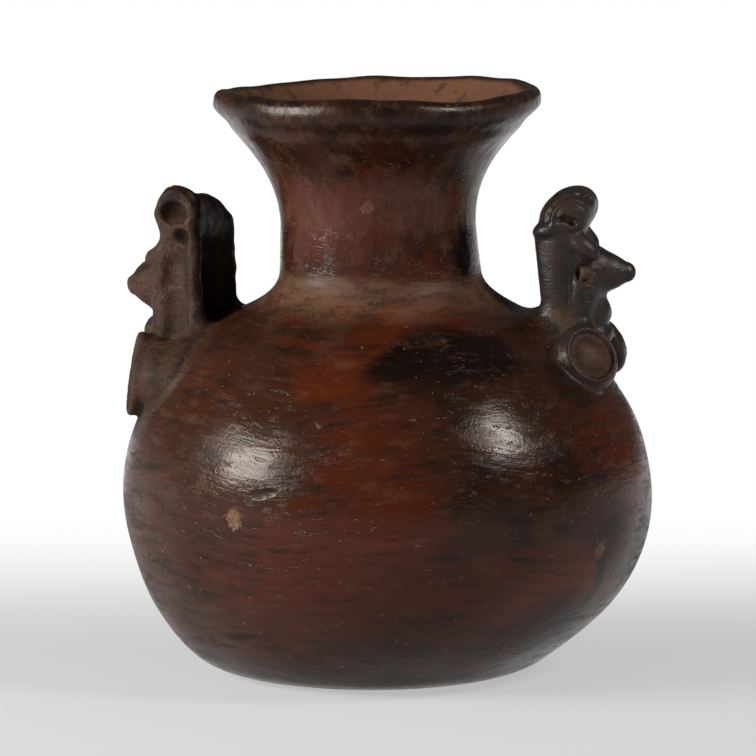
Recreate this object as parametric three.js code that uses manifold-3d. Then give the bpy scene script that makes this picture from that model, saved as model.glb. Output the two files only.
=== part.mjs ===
// Hand-built pottery jar: a squat round belly, a flared neck and two head-shaped lugs on the
// shoulder, all of one fired clay. Millimetres, +Z up. The origin is the centre of the flat
// underside, and the lugs look out along +X and -X, both turned a little towards +Y.
import * as THREE from "three";
import { mergeVertices } from "three/addons/utils/BufferGeometryUtils.js";
import Module from "manifold-3d";

const wasm = await Module();
wasm.setup();

// Belly: two half spheroids that meet at the widest line, flattened below to a flat underside.
const BELLY = { radius: 88.5, middle: 61.5, rise: 70.4, drop: 75 };
const BASE_RADIUS = 36;
const BASE_EDGE = 5;

// Neck and lip, as radius and height of the outer face.
const NECK_FOOT_RADIUS = 46.4;
const NECK_BASE = { radius: 33.8, height: 134.7 };
const NECK_WAIST = { radius: 32.7, height: 150.6 };
const RIM = { radius: 54, height: 191.4 };
const FLARE_START_PULL = 23;
const FLARE_END_PULL = 9;
const LIP_CREST = { radius: 51, height: 195.4 };
const LIP_INNER = { radius: 47, height: 193 };

// Wall.
const BELLY_WALL = 6.5;
const FLOOR_WALL = 7.5;
const NECK_WALL = 5.8;
const ABOVE_LIP = 12;

// The jar was not thrown on a wheel: its middle wanders sideways with height, towards one side.
// Its lip waves, and sags on one side of the mouth.
const LEAN_DIRECTION = 15;
const LEAN = [
  [0, 0],
  [30, 4.3],
  [80, 5.7],
  [133, 3.0],
  [176, 1.5],
  [197, 2.4],
];
const LIP_WAVES = [
  { count: 3, height: 0.35, turn: 40 },
  { count: 5, height: 0.3, turn: 110 },
];
const LIP_SAG = { depth: 3, direction: 146, spread: 36 };
const WAVE_START = 165;

// How finely the round faces are divided.
const OUTER_SIDES = 48;
const INNER_SIDES = 26;
const CURVE_STEPS = 4;
const LUG_SIDES = 12;
const LUG_STEPS = 3;

// Lugs. Forward is measured out from the jar's middle at the neck's foot, height from the
// underside. Both lugs share these sizes, and what differs from one to the other is in LUGS:
// each is built facing straight out from the neck, and its move then shifts it.
const HEAD_SIDE_DEPTH = 10;
const HEAD_CORNER = 3;
const HEAD_ROOT = 84;
const SCOOP_WIDTH_SHARE = 0.78;
const SCOOP_HALF_HEIGHT = 24;
const CROWN_DIMPLE = { depth: 3, floorShare: 0.6, rimShare: 0.72, rimDrop: 0.4 };
const BROW = { inner: 5, outer: 11, setBack: 7, rise: 6.5, radius: 2.9 };
const EYE = { side: 9.5, setBack: 3.4, socket: 3.4, pellet: 2, sink: 2 };
const FACE = { depth: 7, widthShare: 0.86, halfHeight: 17, drop: 4 };
const NOSE = { widthShare: 0.8, tip: 2.7, root: 6 };
const MOUTH = { depth: 5, halfWidth: 6.5, halfHeight: 5.5, setBack: 1 };
const DISC = { length: 15, rim: 1.6, lip: 3.5, dish: 2.4, pit: 1.2, rootShare: 0.8 };
const FOOT = { depth: 11, halfHeight: 9, sink: 1 };
const LUGS = [
  {
    facing: 7,
    move: new THREE.Vector3(0, 0, 0),
    back: 55,
    top: 70,
    front: 75,
    halfWidth: 14,
    scoop: 2,
    crown: { forward: 63, height: 154.5, halfDepth: 9.4, halfHeight: 8, tilt: 35, droop: 1 },
    brow: 140.5,
    eye: 134,
    nose: { height: 134, halfHeight: 8, rise: 2, reach: 85.7 },
    mouth: 119.6,
    disc: { forward: 73.6, ahead: 0, side: 20.5, height: 110.1, radius: 12.5, turn: 48, tilt: 27 },
  },
  {
    facing: 173,
    move: new THREE.Vector3(-4.85, 12, 1.8),
    back: 58,
    top: 76,
    front: 80,
    halfWidth: 16.5,
    scoop: 4,
    crown: { forward: 66.6, height: 152.8, halfDepth: 8.4, halfHeight: 8.6, tilt: 0, droop: 8 },
    brow: 134,
    eye: 128,
    nose: { height: 125.5, halfHeight: 9.4, rise: 1, reach: 91.3 },
    mouth: 111.5,
    disc: { forward: 81.4, ahead: 6, side: 19, height: 97.9, radius: 14.4, turn: 27, tilt: 9 },
  },
];

const CLAY = new THREE.MeshStandardMaterial({
  name: "burnished_clay",
  color: 0x5a3324,
  roughness: 0.45,
  metalness: 0,
});

const radians = THREE.MathUtils.degToRad;
const degrees = THREE.MathUtils.radToDeg;

// A closed geometry as a solid. Only the positions are kept, so that shared corners merge.
function solidOf(geometry) {
  const bare = new THREE.BufferGeometry();
  bare.setAttribute("position", geometry.getAttribute("position"));
  if (geometry.index) bare.setIndex(geometry.index);
  const merged = mergeVertices(bare, 1e-4);
  const corners = merged.index.array;
  const kept = [];
  for (let i = 0; i < corners.length; i += 3) {
    const [a, b, c] = corners.subarray(i, i + 3);
    if (a !== b && b !== c && c !== a) kept.push(a, b, c);
  }
  return new wasm.Manifold(
    new wasm.Mesh({
      numProp: 3,
      vertProperties: merged.getAttribute("position").array,
      triVerts: new Uint32Array(kept),
    }),
  );
}

function geometryOf(solid) {
  const mesh = solid.getMesh();
  const geometry = new THREE.BufferGeometry();
  geometry.setAttribute("position", new THREE.BufferAttribute(mesh.vertProperties, 3));
  geometry.setIndex(new THREE.BufferAttribute(mesh.triVerts, 1));
  geometry.computeVertexNormals();
  return geometry;
}

function join(solids) {
  return solids.reduce((all, next) => all.add(next));
}

// Moves every point of a geometry by a function that changes the vector it is given.
function reshape(geometry, move) {
  const position = geometry.getAttribute("position");
  const point = new THREE.Vector3();
  for (let i = 0; i < position.count; i += 1) {
    point.fromBufferAttribute(position, i);
    move(point);
    position.setXYZ(i, point.x, point.y, point.z);
  }
  return geometry;
}

// Sideways wander of the jar's middle at a height, on a smooth curve through LEAN.
const leanCurve = new THREE.SplineCurve(LEAN.map(([height, shift]) => new THREE.Vector2(height, shift)));

function leanAt(height) {
  const last = LEAN.length - 1;
  const next = Math.max(1, LEAN.findIndex(([top], i) => i === last || height < top));
  const [low, high] = [LEAN[next - 1][0], LEAN[next][0]];
  const share = THREE.MathUtils.clamp((height - low) / (high - low), 0, 1);
  return leanCurve.getPoint((next - 1 + share) / last).y;
}

function leanShift(height) {
  const shift = leanAt(height);
  return new THREE.Vector3(
    shift * Math.cos(radians(LEAN_DIRECTION)),
    shift * Math.sin(radians(LEAN_DIRECTION)),
    0,
  );
}

// The lip rises and falls round the mouth, and the wave dies out down the neck.
function lipWave(point) {
  const turn = Math.atan2(point.y, point.x);
  const share = THREE.MathUtils.smoothstep(point.z, WAVE_START, RIM.height);
  const fromSag = THREE.MathUtils.euclideanModulo(degrees(turn) - LIP_SAG.direction + 180, 360) - 180;
  const sag = LIP_SAG.depth * Math.exp(-((fromSag / LIP_SAG.spread) ** 2));
  const waves = LIP_WAVES.map(
    (wave) => wave.height * Math.sin(wave.count * turn + radians(wave.turn)),
  );
  return share * (waves.reduce((sum, wave) => sum + wave, 0) - sag);
}

function handBuilt(point) {
  const wave = lipWave(point);
  point.add(leanShift(point.z));
  point.z += wave;
}

// A profile of radius and height turned round the jar's middle.
function turned(profile, sides) {
  const geometry = new THREE.LatheGeometry(profile.getPoints(CURVE_STEPS), sides);
  geometry.rotateX(Math.PI / 2);
  return solidOf(reshape(geometry, handBuilt));
}

// Height of the belly's upper face at a radius.
function shoulderHeight(radius) {
  return BELLY.middle + BELLY.rise * Math.sqrt(1 - (radius / BELLY.radius) ** 2);
}

// A profile from the middle of a floor out and up to the neck's waist, on a face that lies a
// depth inside the outer one. The belly's arcs run into straight tangents at both ends.
function bodyProfile(floor, bellyDepth, neckDepth) {
  const radius = BELLY.radius - bellyDepth;
  const rise = BELLY.rise - bellyDepth;
  const drop = BELLY.drop - bellyDepth;
  const edgeTurn = Math.asin((floor + BASE_EDGE - BELLY.middle) / drop);
  const edgeRadius = radius * Math.cos(edgeTurn);
  const edgeSlope = -drop / (radius * Math.tan(edgeTurn));
  const foot = NECK_FOOT_RADIUS - bellyDepth;
  const footTurn = Math.acos(foot / radius);
  const footHeight = BELLY.middle + rise * Math.sin(footTurn);
  const footSlope = rise / (radius * Math.tan(footTurn));
  const base = NECK_BASE.radius - neckDepth;
  const profile = new THREE.Path();
  profile.moveTo(0, floor);
  profile.lineTo(BASE_RADIUS - bellyDepth, floor);
  profile.quadraticCurveTo(edgeRadius - BASE_EDGE / edgeSlope, floor, edgeRadius, floor + BASE_EDGE);
  profile.absellipse(0, BELLY.middle, radius, drop, edgeTurn, 0, false);
  profile.absellipse(0, BELLY.middle, radius, rise, 0, footTurn, false);
  profile.quadraticCurveTo(base, footHeight + footSlope * (foot - base), base, NECK_BASE.height);
  profile.lineTo(NECK_WAIST.radius - neckDepth, NECK_WAIST.height);
  return profile;
}

function outerProfile() {
  const profile = bodyProfile(0, 0, 0);
  profile.bezierCurveTo(
    NECK_WAIST.radius, NECK_WAIST.height + FLARE_START_PULL,
    RIM.radius, RIM.height - FLARE_END_PULL,
    RIM.radius, RIM.height,
  );
  profile.quadraticCurveTo(RIM.radius, LIP_CREST.height, LIP_CREST.radius, LIP_CREST.height);
  profile.quadraticCurveTo(
    (LIP_CREST.radius + LIP_INNER.radius) / 2, LIP_CREST.height,
    LIP_INNER.radius, LIP_INNER.height,
  );
  profile.lineTo(0, LIP_INNER.height);
  return profile;
}

// The hollow, from the floor of the belly to clear above the lip.
function innerProfile() {
  const profile = bodyProfile(FLOOR_WALL, BELLY_WALL, NECK_WALL);
  profile.bezierCurveTo(
    NECK_WAIST.radius - NECK_WALL, NECK_WAIST.height + FLARE_START_PULL,
    LIP_INNER.radius - FLARE_END_PULL, LIP_INNER.height - FLARE_END_PULL,
    LIP_INNER.radius, LIP_INNER.height,
  );
  profile.lineTo(LIP_INNER.radius + ABOVE_LIP, LIP_CREST.height + ABOVE_LIP);
  profile.lineTo(0, LIP_CREST.height + ABOVE_LIP);
  return profile;
}

const UP = new THREE.Vector3(0, 1, 0);

// Turns a geometry from its own Y axis to a direction and sets it at a point.
function aim(geometry, direction, point) {
  const turn = new THREE.Quaternion().setFromUnitVectors(UP, direction.clone().normalize());
  return geometry.applyQuaternion(turn).translate(point.x, point.y, point.z);
}

function pellet(centre, halfSizes, sides = LUG_SIDES) {
  const ball = new THREE.SphereGeometry(1, sides, Math.ceil(sides / 2));
  return solidOf(ball.scale(...halfSizes.toArray()).translate(...centre.toArray()));
}

// The head: a D-shaped block, round in front and flat behind, that runs down into the shoulder.
function headBlock(lug) {
  const { back, top: front, halfWidth } = lug;
  const side = back + HEAD_SIDE_DEPTH;
  const outline = new THREE.Shape();
  outline.moveTo(back + HEAD_CORNER, -halfWidth);
  outline.lineTo(side, -halfWidth);
  outline.absellipse(side, 0, front - side, halfWidth, -Math.PI / 2, Math.PI / 2, false);
  outline.lineTo(back + HEAD_CORNER, halfWidth);
  outline.quadraticCurveTo(back, halfWidth, back, halfWidth - HEAD_CORNER);
  outline.lineTo(back, HEAD_CORNER - halfWidth);
  outline.quadraticCurveTo(back, -halfWidth, back + HEAD_CORNER, -halfWidth);
  const block = new THREE.ExtrudeGeometry(outline, {
    depth: lug.crown.height - lug.crown.droop / 2 - HEAD_ROOT,
    bevelEnabled: false,
    curveSegments: LUG_STEPS,
  });
  return solidOf(block.translate(0, 0, HEAD_ROOT));
}

// The hollow in the back of the head.
function backScoop(lug) {
  const middle = lug.crown.height - SCOOP_HALF_HEIGHT - lug.crown.halfHeight / 2;
  return pellet(
    new THREE.Vector3(lug.back, 0, middle),
    new THREE.Vector3(lug.scoop, lug.halfWidth * SCOOP_WIDTH_SHARE, SCOOP_HALF_HEIGHT),
  );
}

// The rolled headdress across the top, an oval bar with a dimple in each end. One end may droop.
function crownRoll(lug) {
  const { forward, height, halfDepth, halfHeight, tilt, droop } = lug.crown;
  const length = lug.halfWidth;
  const half = new THREE.Path();
  const { depth, floorShare, rimShare, rimDrop } = CROWN_DIMPLE;
  half.moveTo(0, length - depth);
  half.quadraticCurveTo(floorShare, length - depth, rimShare, length - rimDrop);
  half.quadraticCurveTo(1, length, 1, length - depth);
  const end = half.getPoints(LUG_STEPS);
  const otherEnd = end.map((point) => new THREE.Vector2(point.x, -point.y));
  const roll = new THREE.LatheGeometry([...otherEnd, ...end.reverse()], LUG_SIDES);
  roll.scale(halfDepth, 1, halfHeight).rotateY(radians(-tilt));
  const slope = Math.atan2(droop, 2 * length);
  return solidOf(roll.rotateX(slope).translate(forward, 0, height - droop / 2));
}

// The front of the face, a swelling that stands out from the block from the brow to the chin.
function face(lug) {
  return pellet(
    new THREE.Vector3(lug.front - FACE.depth, 0, lug.nose.height - FACE.drop),
    new THREE.Vector3(FACE.depth, lug.halfWidth * FACE.widthShare, FACE.halfHeight),
  );
}

function nose(lug) {
  const { height, halfHeight, rise, reach } = lug.nose;
  const length = reach - lug.front;
  const profile = new THREE.Path();
  profile.moveTo(0, -NOSE.root);
  profile.lineTo(halfHeight, -NOSE.root);
  profile.lineTo(halfHeight, 0);
  profile.lineTo(NOSE.tip, length - NOSE.tip);
  profile.quadraticCurveTo(NOSE.tip, length, 0, length);
  const cone = new THREE.LatheGeometry(profile.getPoints(LUG_STEPS), LUG_SIDES);
  cone.scale(1, 1, NOSE.widthShare);
  const ahead = new THREE.Vector3(length, 0, rise);
  return solidOf(aim(cone, ahead, new THREE.Vector3(lug.front, 0, height)));
}

function brow(lug, side) {
  const inner = new THREE.Vector3(lug.front, side * BROW.inner, lug.brow);
  const outer = new THREE.Vector3(
    lug.front - BROW.setBack, side * BROW.outer, lug.brow + BROW.rise,
  );
  const run = outer.clone().sub(inner);
  const bar = new THREE.CapsuleGeometry(BROW.radius, run.length(), LUG_STEPS, LUG_SIDES / 2);
  return solidOf(aim(bar, run, inner.add(outer).multiplyScalar(0.5)));
}

function eyeCentre(lug, side) {
  return new THREE.Vector3(lug.front - EYE.setBack, side * EYE.side, lug.eye);
}

// A round ear ornament: a short cone that ends in a raised rim round a shallow dish. The one on
// the negative side may stand further ahead, where the shoulder would swallow it.
function earDisc(lug, side) {
  const { ahead, side: reach, height, radius, turn, tilt } = lug.disc;
  const forward = lug.disc.forward + (side < 0 ? ahead : 0);
  const profile = new THREE.Path();
  profile.moveTo(0, -DISC.length);
  profile.lineTo(radius * DISC.rootShare, -DISC.length);
  profile.lineTo(radius, -DISC.rim);
  profile.quadraticCurveTo(radius, 0, radius - DISC.rim, 0);
  profile.quadraticCurveTo(radius - DISC.lip, 0, radius - DISC.lip, -DISC.dish / 2);
  profile.quadraticCurveTo(radius / 2, -DISC.dish, DISC.pit, -DISC.dish);
  profile.lineTo(0, -DISC.dish - DISC.pit);
  const disc = new THREE.LatheGeometry(profile.getPoints(LUG_STEPS), LUG_SIDES);
  const outward = new THREE.Vector3().setFromSphericalCoords(
    1, radians(90 - tilt), radians(90 - side * turn),
  );
  const facing = new THREE.Vector3(outward.x, outward.z, outward.y);
  return solidOf(aim(disc, facing, new THREE.Vector3(forward, side * reach, height)));
}

// The clay smeared round the root of the head, where it was luted to the shoulder.
function foot(lug) {
  const forward = lug.back + FOOT.depth / 2;
  return pellet(
    new THREE.Vector3(forward, 0, shoulderHeight(forward) - FOOT.sink),
    new THREE.Vector3(FOOT.depth, lug.halfWidth, FOOT.halfHeight),
  );
}

function headLug(lug) {
  const sides = [-1, 1];
  const mouth = new THREE.Vector3(lug.front - MOUTH.setBack, 0, lug.mouth);
  const head = join([
    headBlock(lug).subtract(backScoop(lug)),
    crownRoll(lug),
    foot(lug),
    face(lug),
    nose(lug),
    pellet(mouth, new THREE.Vector3(MOUTH.depth, MOUTH.halfWidth, MOUTH.halfHeight)),
    ...sides.map((side) => brow(lug, side)),
  ]);
  const sockets = sides.map((side) => {
    const ball = new THREE.Vector3().setScalar(EYE.socket);
    return pellet(eyeCentre(lug, side), ball, LUG_SIDES / 2);
  });
  const eyes = sides.map((side) => {
    const ball = new THREE.Vector3().setScalar(EYE.pellet);
    const sunk = new THREE.Vector3(-EYE.sink, 0, 0);
    return pellet(eyeCentre(lug, side).add(sunk), ball, LUG_SIDES / 2);
  });
  const discs = sides.map((side) => earDisc(lug, side));
  const whole = join([head.subtract(join(sockets)), ...eyes, ...discs]);
  const shift = leanShift(NECK_BASE.height);
  const placed = geometryOf(whole).translate(...lug.move.toArray());
  placed.rotateZ(radians(lug.facing)).translate(...shift.toArray());
  return solidOf(placed);
}

const outer = turned(outerProfile(), OUTER_SIDES);
const hollow = turned(innerProfile(), INNER_SIDES);
const jar = join([outer, ...LUGS.map(headLug)]).subtract(hollow);

const vessel = new THREE.Mesh(geometryOf(jar), CLAY);
vessel.name = "vessel";

const object = new THREE.Group();
object.name = "effigy_lug_jar";
object.add(vessel);

export default object;
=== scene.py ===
"""A hand-built burnished clay jar with two head-shaped lugs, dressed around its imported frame.

Sizes are in millimetres and turn into metres where a mesh is made. Up is +Z, and the middle of
the jar's underside is the origin. A lug has axes of its own: forward, straight out from the jar;
side, to its left as it looks out; and up."""

import math
from types import SimpleNamespace

import bpy
import numpy as np
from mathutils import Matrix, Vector


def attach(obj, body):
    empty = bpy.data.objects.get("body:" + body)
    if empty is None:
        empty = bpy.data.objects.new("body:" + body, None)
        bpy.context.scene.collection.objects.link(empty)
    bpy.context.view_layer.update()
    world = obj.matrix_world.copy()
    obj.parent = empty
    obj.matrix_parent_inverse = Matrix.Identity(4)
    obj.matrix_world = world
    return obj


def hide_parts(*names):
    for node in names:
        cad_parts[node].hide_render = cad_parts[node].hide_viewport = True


MM = 0.001

# Jar: two half spheroids, a flat underside, a waisted neck and a flared lip.
BELLY_RADIUS = 88.5
BELLY_MIDDLE = 61.5
BELLY_RISE = 70.4
BELLY_DROP = 75.0
BASE_RADIUS = 36.0
BASE_EDGE = 5.0
NECK_FOOT_RADIUS = 46.4
NECK_BASE = (33.8, 134.7)
NECK_WAIST = (32.7, 150.6)
RIM = (54.0, 191.4)
FLARE_START_PULL = 23.0
FLARE_END_PULL = 9.0
LIP_CREST = (51.0, 195.4)
LIP_INNER = (47.0, 193.0)
# Ridge and groove that make the lip a roll, as height, spread and size.
LIP_BEAD = ((190.0, 2.6, 0.7), (184.6, 2.2, -0.7))
BELLY_WALL = 6.5
FLOOR_WALL = 7.5
NECK_WALL = 5.8

# How far the jar's middle wanders sideways, as height and shift, and how its lip waves and sags.
LEAN_DIRECTION = 15.0
LEAN = ((0, 0), (30, 4.3), (80, 5.7), (133, 3.0), (176, 1.5), (197, 2.4))
LIP_WAVES = ((3, 0.35, 40.0), (5, 0.3, 110.0), (11, 0.12, 20.0), (17, 0.1, 75.0))
LIP_SAG = dict(depth=3.0, direction=146.0, spread=36.0)
WAVE_START = 165.0

# Slow unevenness of the clay: amplitude, and waves per metre along X, Y and Z with a start.
DENTS = (
    (0.30, 11.0, 4.0, 7.0, 0.4),
    (0.26, -6.0, 12.0, 9.0, 1.9),
    (0.18, 17.0, -13.0, 14.0, 3.1),
    (0.14, 9.0, 22.0, -19.0, 5.2),
    (0.09, -28.0, 17.0, 25.0, 0.8),
)
# Heights over which the dents set in, so that the underside stays flat.
DENT_START = (1.0, 8.0)

# Columns round the jar, and points in each stretch of its profile, outside and inside.
JAR_COLUMNS = 216
OUTER_ROWS = dict(base=8, edge=10, lower=44, upper=40, foot=10, neck=9, flare=30, lip=16)
INNER_ROWS = dict(base=5, edge=5, lower=16, upper=16, foot=6, neck=4, flare=12)

# Lugs: how fine and smooth their skin is, how deep it is let into the shoulder, and its box.
SKIN_STEP = 0.7
SKIN_ROUNDS = 2
SKIN_SHARE = 0.5
SKIN_SINK = 0.12
THIN = 0.01
UNKNOT_ROUNDS = 4
PLUG_DEPTH = 4.0
PLUG_REACH = 11.0
LUG_BOX = ((28.0, 97.0), (-44.0, 66.0), (66.0, 170.0))
LUG_SHIFT_HEIGHT = NECK_BASE[1]
# The worn lug's top rises to one side: rise and bend at a distance to the side.
DROOP = dict(rise=3.2, bend=2.0, reach=16.5)
# How many times finer than the jar's dents the lugs' own unevenness is.
LUG_ROUGH = 7
WORN_ROUGH = 13

# Marks in the surface, by angle round the jar and height: chips, and one long open pore.
CHIPS = (
    dict(azimuth=-109.7, height=62.2, half=(3.1, 3.5), strength=1.0),
    dict(azimuth=-21.8, height=48.6, half=(2.7, 3.2), strength=0.8),
    dict(azimuth=-80.3, height=159.4, half=(2.8, 2.4), strength=0.45),
    dict(azimuth=118.0, height=84.0, half=(3.4, 2.4), strength=0.9),
    dict(azimuth=61.0, height=38.0, half=(2.2, 2.6), strength=0.8),
)
PORE = (
    dict(azimuth=-103.6, height=70.6, half=(3.4, 1.7)),
    dict(azimuth=-101.4, height=71.6, half=(3.0, 1.5)),
)
PORE_HOLE = dict(azimuth=-100.4, height=72.4, half=(2.2, 0.7))

# Places on the polished lug where dust has stayed: the eye, the disc's dish and the foot.
DUSTY = (((70.2, -11.0, 135.8), 4.0), ((72.6, -19.6, 109.6), 9.4), ((63.0, -14.0, 121.0), 5.0))

# Readings on the mesh: rounds of averaging, how far below the rim the lip begins, and spans from
# none to all, in millimetres or, for dust, in shares of its reach.
HOLLOW_ROUNDS = 10
HOLLOW_BLUR = 3
LIP_EDGE = 2.0
INSIDE_SPAN = (1.5, 3.5)
LUG_EDGE = 0.3
SEAM_SPAN = (0.5, 1.2)
SEAM_END = (1.5, 2.4)
DUSTY_SPAN = (0.6, 1.1)
READINGS = (
    "inside", "polished_lug", "worn_lug", "hollow", "seam", "dusty", "ember", "plum", "ash", "soot",
)

# Waves in a millimetre of the burnishing strokes and of the flaking slip, on belly and neck.
BELLY_STROKES = (0.05, 0.05, 0.40)
NECK_STROKES = (0.28, 0.28, 0.05)
BELLY_FLAKES = (0.10, 0.10, 0.30)
NECK_FLAKES = (0.20, 0.20, 0.13)
# How far the strokes sway, in how many waves to a millimetre, and how high the fine relief is.
STROKE_SWAY = (10.0, 10.0, 13.0)
SWAY_WAVES = 0.018
RELIEF_STRENGTH = 0.55
RELIEF_HEIGHT = 0.6

# Clays and soils, as linear colours.
BROWN = (0.0250, 0.0088, 0.0043)
RED = (0.0410, 0.0086, 0.0030)
ORANGE = (0.0720, 0.0150, 0.0038)
PLUM = (0.0480, 0.0122, 0.0078)
# Soot-black for the soot clouds and streak, also laid as painted shade in the worn lug's hollows, at
# the lugs' seams and in the pore.
SOOT_AND_SHADE = (0.0044, 0.0022, 0.0017)
SLATE = (0.0165, 0.0158, 0.0162)
ASH = (0.0480, 0.0235, 0.0140)
DUST = (0.0800, 0.0400, 0.0215)
RAW_CLAY = (0.1450, 0.0800, 0.0440)
INNER = (0.1000, 0.0470, 0.0260)
WORN = (0.0280, 0.0130, 0.0070)
WHITE = (1.0, 1.0, 1.0, 1.0)
SHEEN = 0.20

# Broad clouds from the firing: tone, angle, height, half sizes round and up, and strength.
CLOUDS = (
    ("ember", -92, 108, 34, 12, 0.8),
    ("ember", -82, 70, 26, 34, 0.7),
    ("ember", -80, 30, 56, 22, 0.55),
    ("ember", -8, 83, 26, 20, 0.7),
    ("ember", -30, 33, 36, 15, 1.0),
    ("ember", -62, 147, 14, 14, 0.6),
    ("ember", -78, 124, 44, 9, 0.8),
    ("ember", -86, 160, 16, 18, 0.65),
    ("ember", -128, 96, 22, 12, 0.25),
    ("ember", 130, 60, 40, 32, 0.7),
    ("ember", 40, 110, 30, 16, 0.6),
    ("plum", -103, 158, 20, 20, 1.0),
    ("plum", -72, 160, 12, 16, 0.6),
    ("plum", -100, 52, 40, 18, 0.5),
    ("plum", 100, 160, 30, 20, 0.8),
    ("soot", -48, 110, 34, 17, 1.0),
    ("soot", -58, 84, 20, 16, 0.5),
    ("soot", -26, 154, 12, 22, 0.9),
    ("soot", -20, 139, 12, 9, 0.9),
    ("soot", 70, 66, 46, 30, 0.9),
    ("soot", 170, 40, 34, 24, 0.7),
    ("ash", -142, 60, 34, 44, 0.9),
    ("ash", -115, 32, 34, 16, 0.7),
    ("ash", 8, 60, 26, 34, 0.6),
    ("ash", -60, 178, 40, 9, 0.5),
)
CLOUD_DRIFT = 20.0
CLOUD_SPAN = (0.3, 1.4)
STREAK = ((-20.5, 45.0), (-18.0, 36.0), (-20.5, 27.0), (-24.5, 19.5), (-31.0, 14.0))
STREAK_HALF_WIDTH = 3.4
STREAK_SPAN = (0.3, 1.0)

# Soft boxes: direction from the jar as right, towards the camera and up, with size and power.
SOFT_BOXES = (
    dict(name="left_soft_box", towards=(-0.850, 0.415, 0.315), size=(0.52, 0.34), power=15.5),
    dict(name="right_soft_box", towards=(0.692, 0.420, 0.588), size=(0.20, 0.25), power=5.4),
)
BOX_DISTANCE = 0.9
BOX_COLOUR = (1.0, 0.91, 0.83)
LIGHT_AIM = (0.0, 0.0, 0.09)
SURROUND = 0.08
FLOOR_HALF = 4.0
FLOOR_FADE = (0.02, 0.32)
FLOOR_GLOW = 0.47
FLOOR_TONE = (0.165, 0.180, 0.195)
FLOOR_ROUGHNESS = 0.9
FLOOR_SHEEN = 0.1

# Camera: the photograph's scale in pixels, and where it stands and looks.
PHOTO_SIDE = 756
PIXELS_PER_MM = 2.994
CAMERA_AZIMUTH = 15.0
CAMERA_ELEVATION = 8.0
CAMERA_DISTANCE = 2200.0
CAMERA_AIM = (2.3, 97.9)
SENSOR = 36.0


def ellipse_arc(radius, half_height, start, end, count):
    """Points of radius and height on an ellipse about the belly's middle, between two angles."""
    turn = np.linspace(start, end, count)
    return np.stack([radius * np.cos(turn), BELLY_MIDDLE + half_height * np.sin(turn)], 1)


def bezier(controls, count):
    """Points on the Bezier curve of the given control points, from Bernstein's polynomials."""
    controls = np.array(controls, float)
    t = np.linspace(0, 1, count)[:, None]
    degree = len(controls) - 1
    return sum(
        math.comb(degree, i) * t**i * (1 - t) ** (degree - i) * point
        for i, point in enumerate(controls)
    )


def body_curve(rows, floor, belly_depth, neck_depth):
    """Profile from the middle of a floor out and up to the neck's waist, on a face that lies a
    depth inside the outer one. The belly's two elliptic arcs run into tangents at both ends."""
    radius = BELLY_RADIUS - belly_depth
    rise = BELLY_RISE - belly_depth
    drop = BELLY_DROP - belly_depth
    edge_turn = math.asin((floor + BASE_EDGE - BELLY_MIDDLE) / drop)
    edge_radius = radius * math.cos(edge_turn)
    edge_slope = -drop / (radius * math.tan(edge_turn))
    foot = NECK_FOOT_RADIUS - belly_depth
    foot_turn = math.acos(foot / radius)
    foot_height = BELLY_MIDDLE + rise * math.sin(foot_turn)
    foot_slope = rise / (radius * math.tan(foot_turn))
    base = NECK_BASE[0] - neck_depth
    flat = (BASE_RADIUS - belly_depth, floor)
    edge = (edge_radius, floor + BASE_EDGE)
    corner = (edge_radius - BASE_EDGE / edge_slope, floor)
    neck_base = (base, NECK_BASE[1])
    neck_corner = (base, foot_height + foot_slope * (foot - base))
    waist = (NECK_WAIST[0] - neck_depth, NECK_WAIST[1])
    return [
        bezier([(0, floor), flat], rows["base"]),
        bezier([flat, corner, edge], rows["edge"]),
        ellipse_arc(radius, drop, edge_turn, 0, rows["lower"]),
        ellipse_arc(radius, rise, 0, foot_turn, rows["upper"]),
        bezier([(foot, foot_height), neck_corner, neck_base], rows["foot"]),
        bezier([neck_base, waist], rows["neck"]),
    ]


def chained(stretches):
    """One profile from stretches that meet end to end, without the doubled points."""
    return np.concatenate([stretches[0]] + [stretch[1:] for stretch in stretches[1:]])


def jar_curve():
    """The jar's whole profile: up the outside, over the lip and down the inside to the floor."""
    outer = body_curve(OUTER_ROWS, 0, 0, 0)
    flare = bezier([
        NECK_WAIST,
        (NECK_WAIST[0], NECK_WAIST[1] + FLARE_START_PULL),
        (RIM[0], RIM[1] - FLARE_END_PULL),
        RIM,
    ], OUTER_ROWS["flare"])
    for height, spread, size in LIP_BEAD:
        flare[:, 0] += size * np.exp(-(((flare[:, 1] - height) / spread) ** 2))
    outer.append(flare)
    half_lip = OUTER_ROWS["lip"] // 2
    rim = tuple(flare[-1])
    outer.append(bezier([rim, (rim[0], LIP_CREST[1]), LIP_CREST], half_lip))
    lip_corner = ((LIP_CREST[0] + LIP_INNER[0]) / 2, LIP_CREST[1])
    outer.append(bezier([LIP_CREST, lip_corner, LIP_INNER], half_lip))
    inner = body_curve(INNER_ROWS, FLOOR_WALL, BELLY_WALL, NECK_WALL)
    waist = (NECK_WAIST[0] - NECK_WALL, NECK_WAIST[1])
    inner.append(bezier([
        waist,
        (waist[0], waist[1] + FLARE_START_PULL),
        (LIP_INNER[0] - FLARE_END_PULL, LIP_INNER[1] - FLARE_END_PULL),
        LIP_INNER,
    ], INNER_ROWS["flare"]))
    return chained([chained(outer), chained(inner)[::-1]])


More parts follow.
